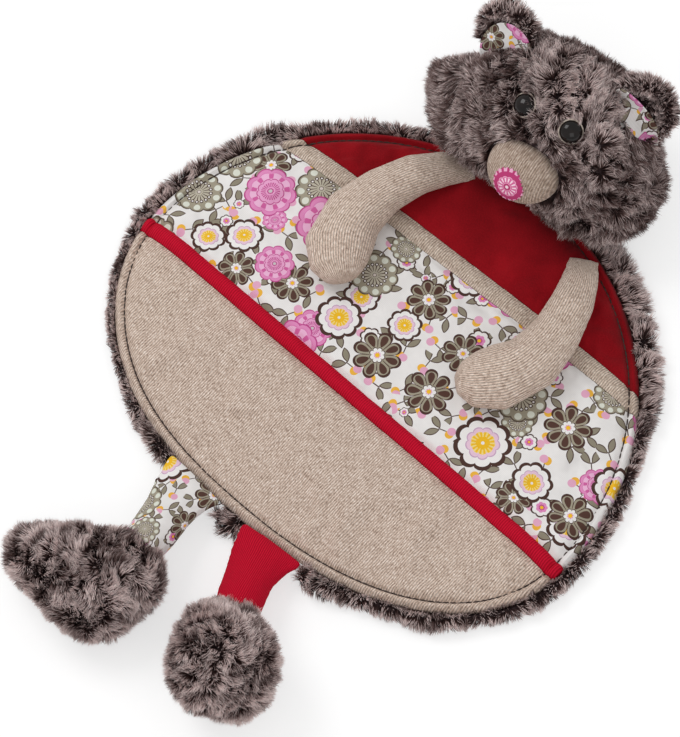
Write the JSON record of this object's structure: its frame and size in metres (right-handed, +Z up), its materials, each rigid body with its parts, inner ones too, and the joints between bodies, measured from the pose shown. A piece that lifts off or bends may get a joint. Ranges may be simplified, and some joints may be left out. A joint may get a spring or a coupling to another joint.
{
  "type": "comfort blanket",
  "caption": "Round patchwork comfort blanket with a fur back, a stuffed plush animal head, stuffed arms on the front and legs with fur feet.",
  "frame": {"origin": "centre of the round upper half of the blanket, on the flat underside that rests on a surface", "axes": "+Z up, out of the patchwork front; +Y towards the head; +X to the right as seen from above with the head at the top"},
  "size_m": [0.252, 0.3388, 0.0722],
  "materials": {
    "brown_fur": "long pile faux fur, dark brown-grey with silver tips",
    "white_batting": "loose white polyester batting, hidden between the front and the back",
    "white_stuffing": "loose white polyester stuffing, hidden inside the sewn covers",
    "beige_knit": "matt heather beige jersey knit",
    "crimson_rib": "matt crimson ribbed cloth",
    "floral_cotton": "matt white cotton printed with pink, grey-green, brown and yellow flowers",
    "greige_knit": "matt greige jersey knit",
    "red_velour": "matt dark red velour",
    "black_eye": "gloss black domed plastic",
    "white_washer": "matt white plastic, hidden inside the head",
    "pink_nose": "matt pink printed cotton patch"
  },
  "bodies": {
    "blanket": {"back_panel": "brown_fur", "batting": "white_batting", "lower_panel": "beige_knit", "ribbed_tape": "crimson_rib", "floral_band": "floral_cotton", "knit_band": "greige_knit", "top_panel": "red_velour"},
    "head": {"head_cover": "brown_fur", "head_stuffing": "white_stuffing", "muzzle_cover": "beige_knit", "muzzle_stuffing": "white_stuffing", "nose_patch": "pink_nose", "left_eye": "black_eye", "right_eye": "black_eye", "left_eye_washer": "white_washer", "right_eye_washer": "white_washer", "left_ear": "brown_fur", "right_ear": "brown_fur", "left_ear_lining": "floral_cotton", "right_ear_lining": "floral_cotton"},
    "left_arm": {"left_arm_cover": "beige_knit", "left_arm_stuffing": "white_stuffing"},
    "right_arm": {"right_arm_cover": "beige_knit", "right_arm_stuffing": "white_stuffing"},
    "left_leg": {"left_leg_cover": "floral_cotton", "left_leg_stuffing": "white_stuffing"},
    "right_leg": {"right_leg_cover": "crimson_rib", "right_leg_stuffing": "white_stuffing"},
    "left_foot": {"left_foot_cover": "brown_fur", "left_foot_stuffing": "white_stuffing"},
    "right_foot": {"right_foot_cover": "brown_fur", "right_foot_stuffing": "white_stuffing"}
  },
  "joints": [
    {"name": "head_tip_back", "type": "hinge", "parent": "blanket", "child": "head", "pos_m": [-0.005, 0.1268, 0.004], "axis": [-0.9992, -0.04, 0], "range_deg": [0, 75]},
    {"name": "left_arm_lift", "type": "hinge", "parent": "blanket", "child": "left_arm", "pos_m": [-0.032, 0.107, 0.01195], "axis": [-0.8666, 0.499, 0], "range_deg": [0, 40]},
    {"name": "right_arm_lift", "type": "hinge", "parent": "blanket", "child": "right_arm", "pos_m": [0.032, 0.107, 0.01195], "axis": [-0.8666, -0.499, 0], "range_deg": [0, 40]},
    {"name": "left_leg_swing", "type": "hinge", "parent": "blanket", "child": "left_leg", "pos_m": [-0.0197, -0.07615, 0.0088], "axis": [-0.9973, 0.0729, 0], "range_deg": [-90, 120]},
    {"name": "right_leg_swing", "type": "hinge", "parent": "blanket", "child": "right_leg", "pos_m": [0.02325, -0.07586, 0.0088], "axis": [-0.996, -0.0891, 0], "range_deg": [-90, 120]},
    {"name": "left_foot_turn", "type": "hinge", "parent": "left_leg", "child": "left_foot", "pos_m": [-0.013, -0.114, 0.018], "axis": [-0.0349, -0.9994, 0], "range_deg": [0, 90]},
    {"name": "right_foot_turn", "type": "hinge", "parent": "right_leg", "child": "right_foot", "pos_m": [0.0355, -0.1085, 0.018], "axis": [0.4384, -0.8988, 0], "range_deg": [-90, 0]}
  ]
}
